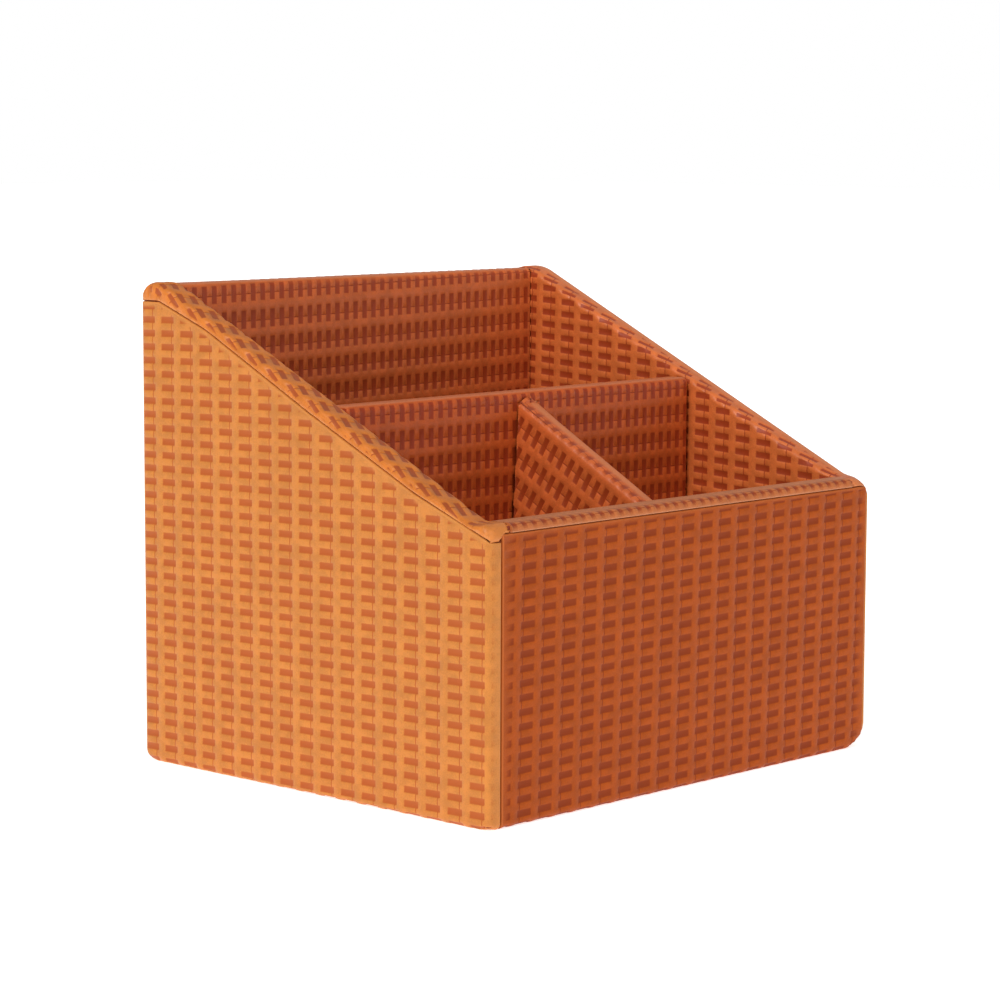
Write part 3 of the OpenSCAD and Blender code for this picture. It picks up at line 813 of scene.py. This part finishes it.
def soften(place, softenings):
    """Rounds an upright corner's foot or top as well. Each softening gives the middle of
    the corner's arc, the way out of it, the radius, the level and 1 at a foot."""
    def placed(u, v, h):
        outer, laid = place(u, v, 0 * h), place(u, v, h)
        for centre, way, radius, level, side in softenings:
            way = np.array(way) / math.sqrt(2)
            out = (outer[:, :2] - centre) @ way - (CORNER - radius)
            up = radius - (outer[:, 2] - level) * side
            far = np.hypot(out, up)
            hit = (out > 0) & (up > 0) & (far > radius)
            pull = np.where(hit, radius / np.maximum(far, 1e-6) - 1, 0)
            laid[:, :2] += (out * pull)[:, None] * way
            laid[:, 2] -= up * pull * side
        return laid
    return placed


# The left and right linings: lighter copies of the lining colours, as painted light: the left rim
# lit like the left face, the right wall lit from the left, with painted glare.
left_rim_painted_light = leatherette("left_lining_painted_light_leatherette", srgb(204, 116, 44), srgb(164, 76, 32),
                       srgb(216, 136, 72), 0.38)
right_wall_painted_light = leatherette("right_lining_painted_light_leatherette", srgb(214, 111, 54), srgb(162, 62, 26),
                         srgb(212, 134, 84), 0.36, 0.3)
side_lining("left_lining", ((6.9, 3.3), 0.6, (60.0, 80.0), 1.5, 0, left_rim_painted_light), 4.0, False, 99,
            RimLine(), [((CORNER, BOX_D - CORNER), (-1, 1), 4.0, SIDE_TOP, -1)])
side_lining("right_lining", ((6.869, 3.262), 0.35, (69.81, 88.06), 3.21, 1.37, right_wall_painted_light),
            1.4, True, 3.5, RimLine(), [((CORNER, CORNER), (-1, -1), 5.2, FRONT_TOP, -1)])

# Covers: four sheets over the outside of the walls. The two side ones go on first and
# lap round the corners, then the front and back ones. All are turned under the base.
FOOT_R = 1.6
FRONT_FOOT = ((BOX_W - CORNER, CORNER), (1, -1), 6.6, 0, 1)
FRONT_HEAD = ((BOX_W - CORNER, CORNER), (1, -1), 5.2, FRONT_TOP, -1)
REAR_FOOT = ((CORNER, BOX_D - CORNER), (-1, 1), 3.0, 0, 1)
NEAR_FOOT = ((CORNER, CORNER), (-1, -1), 3.0, 0, 1)
cover = leatherette("cover_leatherette", srgb(197, 122, 52), srgb(174, 84, 28),
                    srgb(206, 134, 66))
# The front cover: the same leatherette in darker, redder colours, as painted shade for the front
# face in shadow.
front_painted_shade = leatherette("front_painted_shade_leatherette", srgb(167, 76, 22), srgb(138, 56, 20),
                           srgb(186, 100, 48), gloss=0.1)


def cover_place(way_round):
    """Lays a cover: way_round gives the x and y of the sharp corner line for u."""
    def place(u, v, h):
        sharp = np.stack([np.minimum(v, 0), np.maximum(v, 0)], 1)
        section = over_core(sharp, (-99, FOOT_R), (-FOOT_R, 999), FOOT_R, h)
        line = way_round(u)
        core = np.clip(line, CORNER, (BOX_W - CORNER, BOX_D - CORNER))
        out = (line - core) / np.linalg.norm(line - core, axis=1)[:, None]
        plan = core + out * (CORNER + section[:, :1])
        return np.column_stack([plan, section[:, 1]])
    return place


REAR_LAP = 4.0


def side_cover(node, weave, front_lap, mirrored, softening):
    """Covers one side wall from the rear, u 0, to the front. Its top edge follows the turned
    edge of the lining, and front_lap of it goes round on to the front."""
    sheet = Sheet((-REAR_LAP, -4, BOX_D + front_lap, 116), *weave)
    edge = [(-6, 113.75), (7, 113.75), (24, 107.55), (59, 90.45), (94, 74.25),
            (118.5, 65.04), (125, 64.85)]
    for hem in (0, *HEM_LINES):
        sheet.score_path([(u, v - 1.08 * hem) for u, v in edge])
    for hem in HEM_LINES:
        sheet.score((BOX_D + front_lap - hem, 0), (1, 0))
        sheet.score((-REAR_LAP + hem, 0), (1, 0))
    narrow = 1.4 if mirrored else 1.7
    last = BOX_D - 8.35 if mirrored else BOX_D - CORNER
    for u in (CORNER, last):
        sheet.score((u, 0), (1, 0), (u - 2, -9, u + 2, 2))
    sheet.score((0, -narrow), (0, 1))
    sheet.drop(lambda u, v: v > np.interp(u, *np.array(edge).T)
               or (v < -narrow and not CORNER < u < last))
    # the lap round the front corner loses its weave and is painted paler: wear and a painted
    # highlight down the corner
    sheet.finish_edges(lambda u, v: np.minimum(
        (np.interp(u, *np.array(edge).T) - v) * 0.92,
        np.minimum(BOX_D + front_lap - u, u + REAR_LAP)), 1.0,
        wear_and_glare=lambda u, v: np.clip(u - BOX_D - 0.2, 0, 0.5))
    sheet.close()
    for u in (0, BOX_D):
        fold_lines(sheet, u, CORNER, (1, 0))
    fold_lines(sheet, 0, FOOT_R)

    def way_round(u):
        return np.stack([np.maximum(np.maximum(-u, u - BOX_D), 0),
                         BOX_D - np.clip(u, 0, BOX_D)], 1)

    sheet.lay(node, soften(cover_place(way_round), softening), mirrored)


side_cover("left_cover", ((6.937, 3.299), 0.83, (51.95, 34.77), 1.49, 0.07, cover), 4.0,
           False, [REAR_FOOT, NEAR_FOOT])
side_cover("right_cover", ((6.937, 3.299), 0.3, (50.0, 40.0), 1.2, 0, cover), 1.4, True,
           [((CORNER, CORNER), (-1, -1), 6.6, 0, 1),
            ((CORNER, CORNER), (-1, -1), 5.2, FRONT_TOP, -1)])


def end_cover(node, box, weave, way_round, softening):
    """Covers the front or back wall with a sheet that fills box."""
    sheet = Sheet(box, *weave)
    for hem in HEM_LINES:
        sheet.score((0, box[3] - hem), (0, 1))
        sheet.score((box[0] + hem, 0), (1, 0))
        sheet.score((box[2] - hem, 0), (1, 0))
    sheet.finish_edges(lambda u, v: np.minimum(
        box[3] - v, np.minimum(u - box[0], box[2] - u)), 0.7)
    sheet.close()
    fold_lines(sheet, 0, FOOT_R)
    sheet.score((BOX_W - CORNER, 0), (1, 0))
    sheet.lay(node, soften(cover_place(way_round), softening))


end_cover("front_cover", (4.5, -8, 138.25, 66.65),
          ((6.884, 3.298), 0.15, (67.65, 32.88), 0.47, -1.42, front_painted_shade),
          lambda u: np.stack([u, 0 * u], 1), [FRONT_FOOT, FRONT_HEAD, NEAR_FOOT])
end_cover("back_cover", (4.35, -8, 135.65, 115.65),
          ((6.9, 3.3), 0.5, (70.0, 60.0), 0.4, 0.2, cover),
          lambda u: np.stack([BOX_W - u, 0 * u + BOX_D], 1), [REAR_FOOT])

# Underside: a plain sheet of brown leatherette glued under the base between the turned
# edges of the covers. It stays as the CAD gives it.


def underside():
    material, ink, surface = finish_of("underside_leatherette")
    place = ink.node("ShaderNodeTexCoord", out="Object")
    grain = ink.node("ShaderNodeTexNoise", {}, {"Vector": place, "Scale": 2200.0, "Detail": 4.0})
    cloud = ink.node("ShaderNodeTexNoise", {}, {"Vector": place, "Scale": 60.0, "Detail": 3.0})
    colour = ink.mix(grain * 0.5 + cloud * 0.5, srgb(92, 44, 24), srgb(146, 82, 48))
    bump = ink.node("ShaderNodeBump", {}, {"Strength": 0.5, "Distance": 0.0001, "Height": grain})
    links = material.node_tree.links
    links.new(colour.out, surface.inputs["Base Color"])
    links.new((grain * 0.2 + 0.5).out, surface.inputs["Roughness"])
    links.new(bump.out, surface.inputs["Normal"])
    return material


base_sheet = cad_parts["underside_cover"]
base_sheet.data.materials.clear()
base_sheet.data.materials.append(underside())

# Table: a seamless sheet of white paper under the box. It glows a little, as if lit from
# below, so that only a faint shadow shows.
table_mesh = bpy.data.meshes.new("table")
table_mesh.from_pydata([(-6, -6, 0), (6, -6, 0), (6, 6, 0), (-6, 6, 0)], [], [(0, 1, 2, 3)])
table = bpy.data.objects.new("table", table_mesh)
bpy.context.scene.collection.objects.link(table)
paper, _, surface = finish_of("white_paper")
surface.inputs["Base Color"].default_value = (0.9, 0.9, 0.9, 1)
surface.inputs["Roughness"].default_value = 0.9
surface.inputs["Emission Color"].default_value = (1, 1, 1, 1)
surface.inputs["Emission Strength"].default_value = 0.7
table_mesh.materials.append(paper)

# Light: a white room, a broad soft lamp from the upper left and a weaker one in front.
scene = bpy.context.scene
room = bpy.data.worlds.new("room")
scene.world = room
room.use_nodes = True
sky = Stain(room.node_tree)
ray = room.node_tree.nodes.new("ShaderNodeLightPath")
shown = Stain(room.node_tree, ray.outputs["Is Camera Ray"])
back = room.node_tree.nodes["Background"]
back.inputs["Color"].default_value = (1, 1, 1, 1)
room.node_tree.links.new((shown * 0.62 + 0.38).out, back.inputs["Strength"])


def lamp(name, power, azimuth, elevation, spread):
    """A far soft lamp. azimuth 0 shines from the front and -90 from the left."""
    light = bpy.data.lights.new(name, "SUN")
    light.energy, light.angle = power, math.radians(spread)
    holder = bpy.data.objects.new(name, light)
    holder.rotation_euler = (math.radians(90 - elevation), 0, math.radians(azimuth))
    scene.collection.objects.link(holder)


lamp("left_lamp", 1.7, -80, 42, 30)
lamp("front_lamp", 0.45, -10, 35, 40)

# Camera: as the photograph was taken, low and to the left of the front.
azimuth, elevation, roll = (math.radians(a) for a in (-46.72, 6.808, 0.217))
away = np.array([math.sin(azimuth) * math.cos(elevation),
                 -math.cos(azimuth) * math.cos(elevation), math.sin(elevation)])
right = np.cross([0, 0, 1], away)
right /= np.linalg.norm(right)
above = np.cross(away, right)
right, above = (right * math.cos(roll) + above * math.sin(roll),
                above * math.cos(roll) - right * math.sin(roll))
lens = bpy.data.cameras.new("camera")
lens.lens, lens.sensor_width, lens.clip_start = 112.83, 36.0, 0.01
camera = bpy.data.objects.new("camera", lens)
turn = mathutils.Matrix((right, above, away)).transposed().to_4x4()
camera.matrix_world = mathutils.Matrix.Translation((-0.56677, -0.53003, 0.15654)) @ turn
scene.collection.objects.link(camera)
scene.camera = camera
scene.view_settings.view_transform = "Standard"
